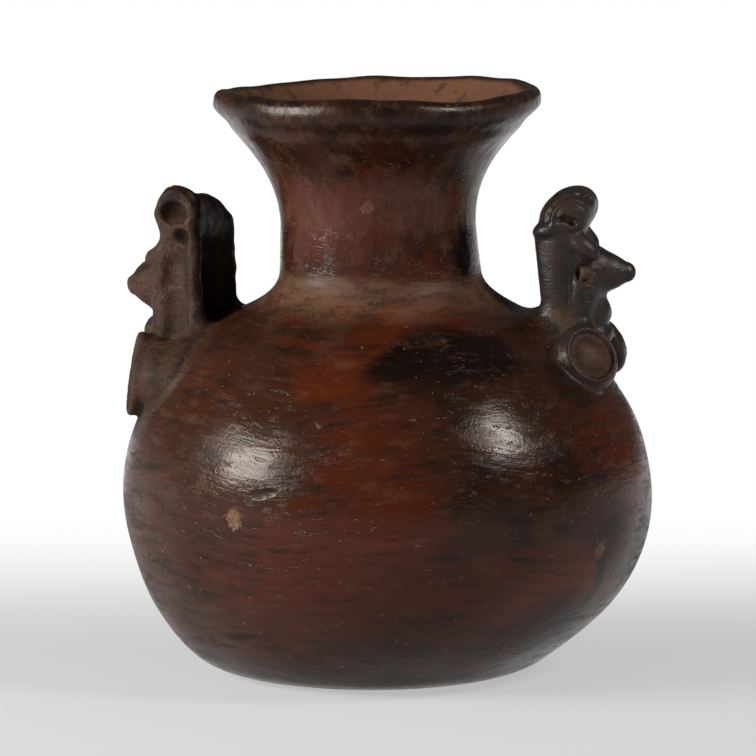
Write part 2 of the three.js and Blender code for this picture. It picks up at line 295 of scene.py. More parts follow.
def lean(height):
    """Sideways shift of the jar's middle at a height, as X and Y: a cubic through LEAN whose
    slope at each given height is the mean of the slopes on either side."""
    heights, shifts = np.array(LEAN, float).T
    slopes = np.gradient(shifts, heights)
    height = np.clip(height, heights[0], heights[-1])
    i = np.clip(np.searchsorted(heights, height) - 1, 0, len(heights) - 2)
    span = heights[i + 1] - heights[i]
    t = (height - heights[i]) / span
    shift = (
        (1 + 2 * t) * (1 - t) ** 2 * shifts[i]
        + t * (1 - t) ** 2 * span * slopes[i]
        + t * t * (3 - 2 * t) * shifts[i + 1]
        + t * t * (t - 1) * span * slopes[i + 1]
    )
    direction = math.radians(LEAN_DIRECTION)
    return shift * math.cos(direction), shift * math.sin(direction)


def smoothstep(low, high, value):
    """0 below low and 1 above high, with a smooth S between."""
    t = np.clip((value - low) / (high - low), 0, 1)
    return t * t * (3 - 2 * t)


def lip_wave(turn, height):
    """Rise of the lip at an angle: a sum of sines less a bell-shaped sag, fading down the neck."""
    from_sag = np.mod(np.degrees(turn) - LIP_SAG["direction"] + 180, 360) - 180
    rise = -LIP_SAG["depth"] * np.exp(-((from_sag / LIP_SAG["spread"]) ** 2))
    for count, size, start in LIP_WAVES:
        rise = rise + size * np.sin(count * turn + math.radians(start))
    return rise * smoothstep(WAVE_START, RIM[1], height)


def dents(x, y, z):
    """How far the clay stands out from its true form at a place: a sum of plane sine waves."""
    total = 0
    for size, across, along, up, start in DENTS:
        total = total + size * np.sin((across * x + along * y + up * z) * MM * 2 * math.pi + start)
    return total


def grid_normals(points):
    """Unit normals of a grid whose columns run round, from the cross product of its steps."""
    along = np.gradient(points, axis=0)
    around = np.roll(points, -1, 1) - np.roll(points, 1, 1)
    normals = np.cross(around, along)
    return normals / np.maximum(np.linalg.norm(normals, axis=2, keepdims=True), 1e-9)


def jar_grid():
    """The jar's profile turned round its middle, then leaned, waved and dented."""
    curve = jar_curve()
    radius, height = (column[1:-1, None] for column in curve.T)
    turn = np.linspace(0, 2 * math.pi, JAR_COLUMNS, endpoint=False)[None, :]
    shift_x, shift_y = lean(height)
    points = np.stack(np.broadcast_arrays(
        radius * np.cos(turn) + shift_x,
        radius * np.sin(turn) + shift_y,
        height + lip_wave(turn, height),
    ), 2)
    off_floor = smoothstep(*DENT_START, height)[..., None]
    size = dents(*np.moveaxis(points, 2, 0))[..., None]
    return points + grid_normals(points) * size * off_floor


def jar_mesh():
    """The jar's grid as points and faces, with a fan of triangles at each pole."""
    grid = jar_grid()
    rows, columns = grid.shape[:2]
    cell = np.arange(rows * columns).reshape(rows, columns)
    after = np.roll(cell, -1, 1)
    walls = np.stack([cell[:-1], after[:-1], after[1:], cell[1:]], 2).reshape(-1, 4)
    under = rows * columns
    floor = under + 1
    poles = np.array([[0, 0, 0], [0, 0, FLOOR_WALL]], float)
    points = np.concatenate([grid.reshape(-1, 3), poles])
    below = np.stack([np.full(columns, under), after[0], cell[0]], 1)
    inside = np.stack([np.full(columns, floor), cell[-1], after[-1]], 1)
    return points, walls.tolist() + below.tolist() + inside.tolist()


def ball(at, centre, half):
    """Distance field of an ellipsoid, negative inside: k(k - 1)/g, with k the point's distance in
    half sizes and g the length of that distance's slope."""
    q = [(a - c) / h for a, c, h in zip(at, centre, half)]
    k = np.sqrt(sum(a * a for a in q))
    g = np.sqrt(sum((a / h) ** 2 for a, h in zip(q, half)))
    return k * (k - 1) / np.maximum(g, 1e-6)


def rod(at, start, end, start_radius, end_radius):
    """Distance field of a round bar between two points, thick at one end and thin at the other."""
    run = np.subtract(end, start)
    along = sum((a - s) * r for a, s, r in zip(at, start, run)) / np.dot(run, run)
    along = np.clip(along, 0, 1)
    gap = sum((a - s - along * r) ** 2 for a, s, r in zip(at, start, run))
    return np.sqrt(gap) - (start_radius + (end_radius - start_radius) * along)


def block(at, low, high, rounding):
    """Distance field of a box with rounded edges."""
    q = [
        np.abs(a - (l + h) / 2) - (h - l) / 2 + rounding
        for a, l, h in zip(at, low, high)
    ]
    outside = np.sqrt(sum(np.maximum(a, 0) ** 2 for a in q))
    return outside + np.minimum(np.maximum(np.maximum(q[0], q[1]), q[2]), 0) - rounding


def melt(a, b, width):
    """Two fields joined, with the inner corner filled over that width."""
    h = np.maximum(width - np.abs(a - b), 0) / width
    return np.minimum(a, b) - h * h * width / 4


def press(a, b, width):
    """Field a with b pressed out of it, the edge rounded over that width."""
    return -melt(-a, b, width)


def tilted(at, centre, angle):
    """The place in axes that turn with a piece about its side axis, forward end up."""
    forward, side, up = (a - c for a, c in zip(at, centre))
    cos, sin = math.cos(math.radians(angle)), math.sin(math.radians(angle))
    return forward * cos + up * sin, side, up * cos - forward * sin


def both_sides(point):
    """A point and its mirror image across the lug's middle."""
    forward, side, up = point
    return (forward, side, up), (forward, -side, up)


def ear_disc(at, side, disc):
    """A round ear ornament on a stalk. Its field comes from the distance out of its axis and the
    height along it: a sloping flank, a raised ring round a shallow dish, and a tiny pit."""
    turn, tilt = math.radians(disc["turn"]) * side, math.radians(disc["tilt"])
    outward = np.array([
        math.cos(turn) * math.cos(tilt),
        math.sin(turn) * math.cos(tilt),
        math.sin(tilt),
    ])
    forward, aside, up = disc["centre"]
    forward = forward + (disc["ahead"] if side < 0 else 0)
    centre = np.array([forward, aside * side, up])
    offset = [a - c for a, c in zip(at, centre)]
    height = sum(o * n for o, n in zip(offset, outward))
    out = np.sqrt(np.maximum(sum(o * o for o in offset) - height**2, 0))
    ring, slope, depth = disc["ring"], disc["slope"], disc["depth"]
    flank = (out - disc["edge"] + slope * (height + 1.5)) / math.hypot(1, slope)
    body = press(press(flank, -height - 0.5, disc["front"]), height + depth, disc["round"])
    body = melt(body, np.hypot(out - ring, height + 0.8) - 1.1, 1.2)
    body = press(body, np.maximum(out - ring + 1.0, -2.0 + 0.011 * out**2 - height), 0.7)
    body = press(body, np.hypot(out, height + 1.8) - 1.1, 0.4)
    start = centre - (depth - 1.5) * outward
    stalk = rod(at, start, start - 10 * outward, *disc["stalk"])
    return melt(body, stalk, 1.2)


def droop(side):
    """How far the worn lug's top stands up at a distance to the side: a line and a square."""
    reach = DROOP["reach"]
    return DROOP["rise"] * side / reach + DROOP["bend"] * (side / reach) ** 2


def worn_plate(at):
    """The worn lug's body: a tall plate with a hollowed back, on a broad foot."""
    sagged = (at[0], at[1], at[2] - droop(at[1]) * smoothstep(115, 150, at[2]))
    field = block(sagged, (60.0, -15.2, 84), (74.6, 15.2, 149), 3.2)
    for start in both_sides((61.0, 14.4, 112)):
        end = (61.8, start[1], 147)
        field = melt(field, rod(sagged, start, end, 3.4, 3.0), 2.5)
    field = press(field, ball(sagged, (56.8, 0, 130), (9.0, 11.6, 22)), 2.5)
    field = melt(field, rod(at, (55.0, 15.6, 104), (61.0, 14.4, 114), 5.4, 3.4), 3.0)
    field = melt(field, ball(at, (65.0, 18.0, 99.0), (15.0, 20.0, 12.0)), 5.0)
    for centre in both_sides((67.4, 18.4, 126)):
        field = press(field, ball(at, centre, (5.6, 4.0, 24)), 2.0)
    field = melt(field, ball(at, (73.0, 0, 120.5), (7.6, 13.6, 18)), 3.0)
    for start in both_sides((73.6, 12.4, 108)):
        field = melt(field, rod(at, start, (73.2, start[1], 138), 2.8, 2.2), 3.0)
    return field


def worn_roll(field, at):
    """The field with the worn lug's rolled top, which droops to one side: ripples run round its
    near end, and two hollows are pressed into it."""
    drooped = (at[0] + 0.08 * at[1] - 1.2, at[1], at[2] - droop(at[1]))
    across, side, up = (a - c for a, c in zip(drooped, (66.7, 0, 148.0)))
    roll = (np.hypot(across / 8.7, up / 8.9) - 1) * 8.7
    roll = press(roll, 16.6 - np.abs(side), 4.5)
    field = melt(field, roll, 2.0)
    ripple = np.hypot(across - 0.6, up + 0.4)
    near_end = smoothstep(9, 14, side) * smoothstep(4.5, 6, ripple) * smoothstep(-1, 2, up)
    field = field + 0.26 * np.cos(ripple * 2 * math.pi / 2.6) * near_end
    field = press(field, ball(at, (67.5, 18.4, 151.7), (5.3, 5.6, 4.3)), 0.8)
    return press(field, ball(at, (64.9, 17.0, 143.8), (2.9, 3.6, 3.0)), 0.7)


def worn_face(field, at):
    """The field with the worn lug's face: low brows, a wedge nose, small eyes and a mouth."""
    for start, end in zip(both_sides((73.6, 11.6, 138.6)), both_sides((78.2, 8.6, 135.2))):
        field = melt(field, rod(at, start, end, 2.6, 3.3), 2.0)
    narrow = (at[0], at[1] * 1.15, at[2])
    field = melt(field, rod(narrow, (79.0, 0, 124.8), (88.4, 0, 125.0), 9.6, 3.6), 2.0)
    field = melt(field, ball(narrow, (78.0, 0, 126.4), (11.4, 8.6, 8.8)), 1.5)
    for centre in both_sides((79.0, 9.4, 132.0)):
        field = press(field, ball(at, centre, (1.8, 1.8, 1.3)), 0.7)
    field = melt(field, ball(at, (80.0, 0, 110.4), (4.6, 8.0, 5.4)), 1.8)
    return press(field, ball(at, (85.0, 0, 110.4), (1.6, 5.6, 0.7)), 0.6)


def worn_lug(at):
    """The bigger lug on the -X side: plate, rolled top and face, rough all over."""
    field = worn_face(worn_roll(worn_plate(at), at), at)
    forward, side, up = at
    rough = dents(forward * LUG_ROUGH, side * LUG_ROUGH, up * LUG_ROUGH)
    rough = rough + 0.6 * dents(side * WORN_ROUGH, up * WORN_ROUGH, forward * WORN_ROUGH)
    return field + 0.4 * rough


def polished_column(at):
    """The polished lug's body: a rounded column with a scooped back and a swelling face."""
    field = block(at, (54.8, -13.4, 84), (70.4, 13.4, 150), 5.0)
    field = press(field, ball(at, (52.8, 0, 130), (3.6, 9.0, 18)), 3.0)
    for start in both_sides((58.2, 10.2, 130)):
        field = melt(field, rod(at, start, (56.4, start[1] * 0.9, 148), 3.0, 3.9), 2.5)
    for start in both_sides((62.4, 10.4, 112)):
        field = melt(field, rod(at, start, (60.6, start[1] * 1.04, 146), 3.8, 4.0), 2.0)
    for centre in both_sides((65.6, 14.8, 135)):
        field = press(field, ball(at, centre, (1.7, 3.0, 13)), 1.2)
    return melt(field, ball(at, (68.8, 0, 129), (6.8, 11.6, 17)), 2.5)


def polished_knot(field, at):
    """The field with the polished lug's knotted top: coiled grooves in its near end, as a cosine
    of the distance from the coil's middle, over a smooth fold."""
    across, side, up = tilted(at, (63.2, 0, 154.4), 38)
    knot = (np.sqrt((across / 10.3) ** 2 + (up / 7.9) ** 2 + (side / 15.6) ** 4) - 1) * 7.9
    field = melt(field, knot, 1.6)
    coil = np.hypot((across - 1.6) * 0.86, up + 1.4)
    grooves = 0.6 * np.cos(coil * 2 * math.pi / 2.3 + 0.6)
    coiled = smoothstep(2.0, 8.5, -side) * smoothstep(-2.6, -0.6, up) * smoothstep(1.2, 2.4, coil)
    coiled = coiled * (1 - smoothstep(7.2, 8.6, coil))
    field = field + grooves * coiled
    field = press(field, ball(at, (66.0, -15.0, 152.8), (1.5, 3.4, 1.3)), 0.8)
    field = press(field, ball(at, (63.4, -15.2, 154.0), (1.9, 2.4, 0.9)), 0.7)
    fold = ball(tilted(at, (58.6, -10.4, 150.3), 16), (0, 0, 0), (6.6, 5.2, 3.5))
    return melt(field, fold, 0.7)


def polished_brows(field, at):
    """The field with the polished lug's heavy brows over a long nose."""
    for centre in both_sides((67.6, 14.6, 141.4)):
        field = press(field, ball(at, centre, (2.2, 2.8, 4.2)), 1.0)
    for centre in ((69.4, -10.2, 144.6), (67.0, 10.2, 145.8)):
        brow = ball(tilted(at, centre, -40), (0, 0, 0), (6.8, 4.2, 3.5))
        field = melt(field, brow, 1.4)
    narrow = (at[0], at[1] * 1.12, at[2])
    field = melt(field, rod(narrow, (73.0, 0, 135.0), (82.4, 0, 135.0), 9.0, 3.6), 1.6)
    return melt(field, ball(narrow, (74.8, 0, 135.0), (8.2, 6.4, 6.2)), 1.2)


def polished_eyes(field, at):
    """The field with the polished lug's pellet eyes, each in a socket with a pierced corner at
    either end and a lid below."""
    for centre in both_sides((70.0, 12.0, 135.8)):
        field = press(field, ball(at, centre, (3.4, 2.8, 3.4)), 0.8)
        seat = (centre[0], centre[1] * 0.88, centre[2])
        field = melt(field, ball(at, seat, (2.5, 2.2, 2.5)), 0.3)
        for reach in (-2.5, 2.5):
            hole = (centre[0] + reach, centre[1] * 0.93, centre[2])
            field = press(field, ball(at, hole, (0.7, 3.0, 1.0)), 0.3)
        lid = (centre[0] - 0.4, centre[1] * 0.9, centre[2] - 4.2)
        field = melt(field, ball(at, lid, (3.4, 2.0, 1.1)), 0.6)
    return field


def polished_mouth(field, at):
    """The field with the polished lug's lips and the lumps of clay beside them."""
    field = melt(field, ball(at, (72.4, 0, 121.2), (5.4, 7.4, 6.0)), 2.5)
    field = melt(field, ball(at, (72.2, 0, 114.4), (6.4, 8.0, 4.6)), 2.0)
    field = press(field, ball(at, (78.4, 0, 118.0), (1.8, 6.0, 0.8)), 0.7)
    for centre in both_sides((69.4, 8.6, 124.6)):
        field = melt(field, ball(at, centre, (3.4, 3.8, 4.4)), 1.6)
    for centre in both_sides((68.8, 10.0, 117.2)):
        field = melt(field, ball(at, centre, (3.8, 3.6, 4.4)), 1.6)
    return field


def polished_lug(at):
    """The smaller lug on the +X side: column, knotted top, brows, eyes and mouth."""
    field = polished_brows(polished_knot(polished_column(at), at), at)
    field = polished_mouth(polished_eyes(field, at), at)
    return field + 0.16 * dents(at[0] * LUG_ROUGH, at[1] * LUG_ROUGH, at[2] * LUG_ROUGH)


LUGS = (
    dict(
        name="polished_lug", facing=7.0, shift=(0, 0, 0), form=polished_lug, fillet=12.0, worn=4.5,
        disc=dict(
            centre=(73.6, 20.5, 110.1), ahead=0.0, turn=48, tilt=27, edge=12.7, ring=9.0, slope=0.0,
            depth=7.4, front=6.0, round=6.0, fillet=1.4, stalk=(7.6, 9.0),
        ),
    ),
    dict(
        name="worn_lug", facing=173.0, shift=(-4.85, 12.0, 1.8), form=worn_lug, fillet=7.0, worn=8.0,
        disc=dict(
            centre=(81.4, 19.0, 97.9), ahead=6.0, turn=27, tilt=9, edge=14.4, ring=12.6, slope=-0.4,
            depth=15.0, front=1.4, round=1.6, fillet=2.5, stalk=(7.5, 8.5),
        ),
    ),
)


def lug_form(lug, at, jar=None):
    """Distance field of a whole lug, with the foot of its column run into the jar's field if that
    is given. The discs join last, so the crevice behind them stays open."""
    at = [a - s for a, s in zip(at, lug["shift"])]
    field = lug["form"](at)
    if jar is not None:
        field = melt(field, jar, lug["fillet"])
    for side in (1, -1):
        field = melt(field, ear_disc(at, side, lug["disc"]), lug["disc"]["fillet"])
    return field


def shoulder(x, y, z):
    """Distance field of the belly's upper half, leaned and dented as the jar is."""
    shift_x, shift_y = lean(z)
    half = (BELLY_RADIUS, BELLY_RADIUS, BELLY_RISE)
    return ball((x - shift_x, y - shift_y, z), (0, 0, BELLY_MIDDLE), half) - dents(x, y, z)


def lug_axes(facing):
    """Forward and side directions of a lug, and where its axes start, in X and Y."""
    turn = math.radians(facing)
    forward = np.array([math.cos(turn), math.sin(turn)])
    side = np.array([-math.sin(turn), math.cos(turn)])
    return forward, side, np.array(lean(np.array(LUG_SHIFT_HEIGHT)))


def in_lug_axes(lug, points):
    """How far points lie forward, to the side and up in a lug's own axes."""
    forward, side, start = lug_axes(lug["facing"])
    plan = points[:, :2] - start
    return plan @ forward, plan @ side, points[:, 2]


def unknotted(field):
    """The field with clay added wherever the inside corners of a cell's face lie only on one
    diagonal, so that no two sheets of its skin share an edge."""
    for axis in range(3):
        face = np.moveaxis(field, axis, 2)
        a, b, c, d = face[:-1, :-1], face[1:, :-1], face[:-1, 1:], face[1:, 1:]
        for inner, outer in (((a, d), (b, c)), ((b, c), (a, d))):
            knot = (inner[0] < 0) & (inner[1] < 0) & (outer[0] >= 0) & (outer[1] >= 0)
            first = outer[0] <= outer[1]
            outer[0][knot & first] = -THIN
            outer[1][knot & ~first] = -THIN
    return field


def cut_edges(field, axis):
    """For the grid's edges along an axis: which of them cross zero, at what share of their length,
    and which start inside."""
    cells = field.shape[axis] - 1
    first = np.take(field, np.arange(cells), axis)
    last = np.take(field, np.arange(1, cells + 1), axis)
    cut = (first < 0) != (last < 0)
    share = np.where(cut, first / np.where(cut, first - last, 1), 0)
    return cut, share, first < 0


def net_points(cuts, cells):
    """One point in each cell that the skin cuts, at the mean of the places where the cell's edges
    cross zero, and a grid with the number of each cell's point."""
    total = np.zeros((*cells, 3), np.float32)
    count = np.zeros(cells, np.float32)
    for axis, (cut, share, _) in enumerate(cuts):
        u, v = [other for other in range(3) if other != axis]
        for du, dv in ((0, 0), (0, 1), (1, 0), (1, 1)):
            window = [slice(None)] * 3
            window[u] = slice(du, du + cells[u])
            window[v] = slice(dv, dv + cells[v])
            here = cut[tuple(window)]
            total[..., axis] += share[tuple(window)]
            total[..., u] += du * here
            total[..., v] += dv * here
            count += here
    held = count > 0
    number = np.full(cells, -1, np.int64)
    number[held] = np.arange(held.sum())
    return np.argwhere(held) + total[held] / count[held][:, None], number


def net_faces(cuts, number):
    """One face round each cut edge, between the points of the four cells about it, facing out."""
    faces = []
    for axis, (cut, _, inner_first) in enumerate(cuts):
        u, v = (axis + 1) % 3, (axis + 2) % 3
        places = np.argwhere(cut)
        whole = (places[:, u] > 0) & (places[:, u] < number.shape[u])
        whole &= (places[:, v] > 0) & (places[:, v] < number.shape[v])
        places = places[whole]
        corners = []
        for du, dv in ((1, 1), (0, 1), (0, 0), (1, 0)):
            corner = places.copy()
            corner[:, u] -= du
            corner[:, v] -= dv
            corners.append(number[tuple(corner.T)])
        quads = np.stack(corners, 1)
        outward = inner_first[tuple(places.T)]
        faces.append(np.where(outward[:, None], quads, quads[:, ::-1]))
    return np.concatenate(faces)


def surface_net(field, low, step):
    """Skin of the region where a field on a grid is negative: one point in each cell that it cuts,
    and one face round each cut edge."""
    cuts = [cut_edges(field, axis) for axis in range(3)]
    points, number = net_points(cuts, np.array(field.shape) - 1)
    return points * step + np.array(low), net_faces(cuts, number)


def smoothed(points, faces, rounds, share):
    """Points moved towards the mean of their neighbours, round after round."""
    corners = faces.shape[1]
    links = np.concatenate([faces[:, [i, (i + 1) % corners]] for i in range(corners)])
    ends = np.concatenate([links, links[:, ::-1]])
    degree = np.maximum(np.bincount(ends[:, 0], minlength=len(points)), 1)[:, None]
    for _ in range(rounds):
        mean = np.stack([
            np.bincount(ends[:, 0], points[ends[:, 1], i], len(points)) for i in range(3)
        ], 1) / degree
        points = points + share * (mean - points)
    return points


def lug_mesh(lug):
    """A lug with the clay that runs into the shoulder, down to a depth inside the jar's wall."""
    spans = [np.arange(low, high, SKIN_STEP, np.float32) for low, high in LUG_BOX]
    at = np.meshgrid(*spans, indexing="ij")
    forward, side, start = lug_axes(lug["facing"])
    x = at[0] * forward[0] + at[1] * side[0] + start[0]
    y = at[0] * forward[1] + at[1] * side[1] + start[1]
    jar = shoulder(x, y, at[2])
    field = lug_form(lug, at, jar) + SKIN_SINK
    field = np.maximum(np.maximum(field, -PLUG_DEPTH - jar), lug_form(lug, at) - PLUG_REACH)
    for _ in range(UNKNOT_ROUNDS):
        field = unknotted(field)
    points, faces = surface_net(field, [low for low, _ in LUG_BOX], SKIN_STEP)
    points = smoothed(points, faces, SKIN_ROUNDS, SKIN_SHARE)
    plan = points[:, :1] * forward + points[:, 1:2] * side + start
    return np.column_stack([plan, points[:, 2]]), faces.tolist()


def new_piece(name, points, faces):
    """A mesh object at the origin, from points in millimetres."""
    mesh = bpy.data.meshes.new(name)
    mesh.from_pydata((points * MM).tolist(), [], faces)
    mesh.update()
    piece = bpy.data.objects.new(name, mesh)
    bpy.context.scene.collection.objects.link(piece)
    return piece


def fused(piece, others):
    """One closed skin round a piece and others that are let into it."""
    for other in others:
        union = piece.modifiers.new(other.name, "BOOLEAN")
        union.operation = "UNION"
        union.solver = "MANIFOLD"
        union.object = other
    graph = bpy.context.evaluated_depsgraph_get()
    whole = bpy.data.meshes.new_from_object(piece.evaluated_get(graph))
    piece.modifiers.clear()
    piece.data = whole
    for other in others:
        bpy.data.objects.remove(other)
    return piece


def outer_radius(height):
    """Radius of the jar's outer face at a height, from its profile."""
    curve = jar_curve()
    top = np.argmax(curve[:, 1])
    return np.interp(height, curve[:top, 1], curve[:top, 0])


def on_jar(azimuth, height):
    """The point of the jar's outer face at an angle and a height, in millimetres."""
    turn = math.radians(azimuth)
    radius = float(outer_radius(height))
    shift_x, shift_y = lean(np.array(height))
    return radius * math.cos(turn) + float(shift_x), radius * math.sin(turn) + float(shift_y), height


def corner_hollow(mesh):
    """How far each point lies under the mean of its neighbours along its normal, in millimetres,
    averaged over the neighbours a few times so that it shows creases and not single faces."""
    count = len(mesh.vertices)
    points = np.empty(count * 3, np.float32)
    normals = np.empty(count * 3, np.float32)
    mesh.vertices.foreach_get("co", points)
    mesh.vertex_normals.foreach_get("vector", normals)
    points, normals = points.reshape(-1, 3) / MM, normals.reshape(-1, 3)
    links = np.empty(len(mesh.edges) * 2, np.int32)
    mesh.edges.foreach_get("vertices", links)
    links = links.reshape(-1, 2)
    ends = np.concatenate([links, links[:, ::-1]])
    degree = np.maximum(np.bincount(ends[:, 0], minlength=count), 1)

    def around(values):
        return np.bincount(ends[:, 0], values[ends[:, 1]], count) / degree

    soft = points
    for _ in range(HOLLOW_ROUNDS):
        soft = np.stack([around(soft[:, i]) for i in range(3)], 1)
    depth = ((soft - points) * normals).sum(1)
    for _ in range(HOLLOW_BLUR):
        depth = around(depth)
    return points, depth


def add_reading(mesh, name, values):
    """A number at each point that the finish can read."""
    reading = mesh.attributes.new(name, "FLOAT", "POINT")
    reading.data.foreach_set("value", np.ascontiguousarray(values, np.float32))


def cloud_share(points, tone):
    """How much of a tone each point holds: all of its clouds together, each fading with distance
    from its middle in half sizes, at places that wander as the dents do."""
    x, y, z = points.T
    wander = np.stack([dents(y, z, x), dents(z, x, y), dents(x, z, y)], 1)
    drifted = points + CLOUD_DRIFT * wander
    left = np.ones(len(points))
    for name, azimuth, height, around, up, strength in CLOUDS:
        if name == tone:
            away = (drifted - on_jar(azimuth, height)) / (around, around, up)
            left *= 1 - strength * (1 - smoothstep(*CLOUD_SPAN, np.linalg.norm(away, axis=1)))
    return 1 - left


def streak_share(points):
    """1 on the soot streak and 0 off it, by distance from the line through its places."""
    line = np.array([on_jar(*place) for place in STREAK])
    nearest = np.full(len(points), 1e9)
    for start, end in zip(line[:-1], line[1:]):
        nearest = np.minimum(nearest, rod(points.T, start, end, 0, 0))
    return 1 - smoothstep(*STREAK_SPAN, nearest / STREAK_HALF_WIDTH)


def inside_share(points):
    """1 on the jar's inner face and 0 on its outer one, by depth under the outer face, which at
    the lip is taken from its crest."""
    x, y, z = points.T
    shift_x, shift_y = lean(z)
    radius = np.hypot(x - shift_x, y - shift_y)
    under = np.where(z > RIM[1] - LIP_EDGE, LIP_CREST[0] - radius, outer_radius(z) - radius)
    return smoothstep(*INSIDE_SPAN, under)


def dusty_share(points):
    """1 in the polished lug's dusty places and 0 away from them."""
    places = np.column_stack(in_lug_axes(LUGS[0], points))
    dusty = np.zeros(len(points))
    for place, reach in DUSTY:
        away = np.linalg.norm(places - place, axis=1) / reach
        dusty = np.maximum(dusty, 1 - smoothstep(*DUSTY_SPAN, away))
    return dusty


def add_readings(mesh):
    """Where the clay is hollow, inside the jar, on either lug or at its seam, dusty, and in each of
    the clouds."""
    points, depth = corner_hollow(mesh)
    add_reading(mesh, "hollow", depth)
    add_reading(mesh, "inside", inside_share(points))
    seam = np.zeros(len(points))
    for lug in LUGS:
        form = lug_form(lug, in_lug_axes(lug, points))
        add_reading(mesh, lug["name"], 1 - smoothstep(LUG_EDGE, lug["worn"], form))
        seam = np.maximum(seam, smoothstep(*SEAM_SPAN, form) * (1 - smoothstep(*SEAM_END, form)))
    add_reading(mesh, "seam", seam)
    add_reading(mesh, "dusty", dusty_share(points))
    for tone in ("ember", "plum", "ash"):
        add_reading(mesh, tone, cloud_share(points, tone))
    add_reading(mesh, "soot", np.maximum(cloud_share(points, "soot"), streak_share(points)))


def make_vessel():
    """The jar and its lugs as one piece."""
    vessel = new_piece("clay_vessel", *jar_mesh())
    lugs = [new_piece(lug["name"], *lug_mesh(lug)) for lug in LUGS]
    fused(vessel, lugs)
    vessel.data.shade_smooth()
    add_readings(vessel.data)
    vessel.data.materials.clear()
    vessel.data.materials.append(clay_finish())
    return vessel


class Wire:
    """An output socket of a node tree. Arithmetic on it adds Math nodes, and node adds others."""

    def __init__(self, tree, socket=None):
        self.tree = tree
        self.socket = socket

    def node(self, kind, inputs=None, output=0, **settings):
        """A new node: its settings first, then the values or links of its sockets."""
        made = self.tree.nodes.new(kind)
        for name, value in settings.items():
            setattr(made, name, value)
        for name, value in (inputs or {}).items():
            if isinstance(value, Wire):
                self.tree.links.new(value.socket, made.inputs[name])
            else:
                made.inputs[name].default_value = value
        return Wire(self.tree, made.outputs[output])

    def maths(self, operation, *values):
        """A Math node on wires or numbers."""
        return self.node("ShaderNodeMath", dict(enumerate(values)), operation=operation)

    def __add__(self, other):
        return self.maths("ADD", self, other)

    def __sub__(self, other):
        return self.maths("SUBTRACT", self, other)

    def __rsub__(self, other):
        return self.maths("SUBTRACT", other, self)

    def __mul__(self, other):
        return self.maths("MULTIPLY", self, other)

    __radd__ = __add__
    __rmul__ = __mul__

    def between(self, low, high):
        """0 at low and 1 at high, with a smooth S between. Low may be the larger."""
        inputs = {"Value": self, "From Min": low, "From Max": high}
        return self.node("ShaderNodeMapRange", inputs, interpolation_type="SMOOTHSTEP")

    def under(self, colour, share):
        """This colour with another laid over it."""
        inputs = {0: share, 6: self, 7: (*colour, 1.0) if isinstance(colour, tuple) else colour}
        return self.node("ShaderNodeMix", inputs, 2, data_type="RGBA")

    def plain(self, colour):
        """A colour that is the same everywhere."""
        made = self.node("ShaderNodeRGB")
        made.socket.default_value = (*colour, 1.0)
        return made

    def vector(self, operation, other, output=0):
        """Vector maths with another vector or a triple."""
        return self.node("ShaderNodeVectorMath", {0: self, 1: other}, output, operation=operation)

    def noise(self, detail, roughness=0.55):
        """Noise at this place, one wave to a unit."""
        inputs = {"Vector": self, "Scale": 1.0, "Detail": detail, "Roughness": roughness}
        return self.node("ShaderNodeTexNoise", inputs)

    def stretched(self, stretch, detail, shift):
        """Noise with so many waves in a millimetre each way, from a start of its own."""
        start = (shift, shift * 0.7, shift * 1.3)
        return self.vector("MULTIPLY", stretch).vector("ADD", start).noise(detail)

    def near(self, centre, half, inner, outer):
        """1 near a point and 0 away from it, by distance in half sizes."""
        away = self.vector("SUBTRACT", centre).vector("DIVIDE", half)
        away = away.node("ShaderNodeVectorMath", {0: away}, 1, operation="LENGTH")
        return away.between(outer, inner)


def strongest(wires):
    """The greatest of several wires at each place."""
    most = wires[0]
    for wire in wires[1:]:
        most = most.maths("MAXIMUM", most, wire)
    return most


def add_noises(start, fields, on_neck):
    """Noises that run round the belly and up and down the neck with a sway, or every way."""
    place = fields.place
    sway = place.node("ShaderNodeTexNoise", {"Vector": place, "Scale": SWAY_WAVES, "Detail": 1.5}, 1)
    sway = sway.vector("SUBTRACT", (0.5, 0.5, 0.5)).vector("MULTIPLY", STROKE_SWAY)
    swayed = place.vector("SUBTRACT", (0, 0, NECK_BASE[1])).vector("ADD", sway)
    stroke_waves = start.plain(BELLY_STROKES).under(NECK_STROKES, on_neck)
    flake_waves = start.plain(BELLY_FLAKES).under(NECK_FLAKES, on_neck)
    fields.strokes = swayed.vector("MULTIPLY", stroke_waves).noise(3.0, 0.6)
    fields.flakes = swayed.vector("MULTIPLY", flake_waves).vector("ADD", (5, 9, 2)).noise(5.0, 0.62)
    fields.hairs = swayed.stretched((0.08, 0.08, 1.3), 2.0, 7.0)
    fields.mottle = place.stretched((0.06, 0.06, 0.09), 3.0, 23.0)
    fields.grain = place.stretched((0.8, 0.8, 0.9), 3.0, 31.0)
    fields.speckle = place.stretched((0.45, 0.45, 0.6), 2.0, 41.0)
    fields.wear = place.stretched((0.13, 0.13, 0.10), 5.0, 53.0)


def add_wear(fields):
    """Scuffs and gouges in the slip, cracks at the lugs' seams, creases, and dust where the neck
    joins the belly."""
    height = fields.height
    fields.scuffs = (fields.flakes + (fields.grain - 0.5) * 0.25).between(0.51, 0.66)
    fields.gouges = fields.flakes.between(0.39, 0.355) * height.between(136, 128)
    fields.cracks = fields.seam * (fields.wear + (fields.grain - 0.5) * 0.5).between(0.46, 0.56)
    fields.crease = fields.hollow.between(0.06, 0.5) * (1 - fields.inside)
    join = height.between(121, 127) * height.between(137, 131) * (1 - fields.lugs)
    scraped = fields.mottle * 0.6 + fields.flakes * 0.5 + fields.hairs * 0.4 + fields.grain * 0.4
    fields.join_dust = join * scraped.between(0.88, 1.08)


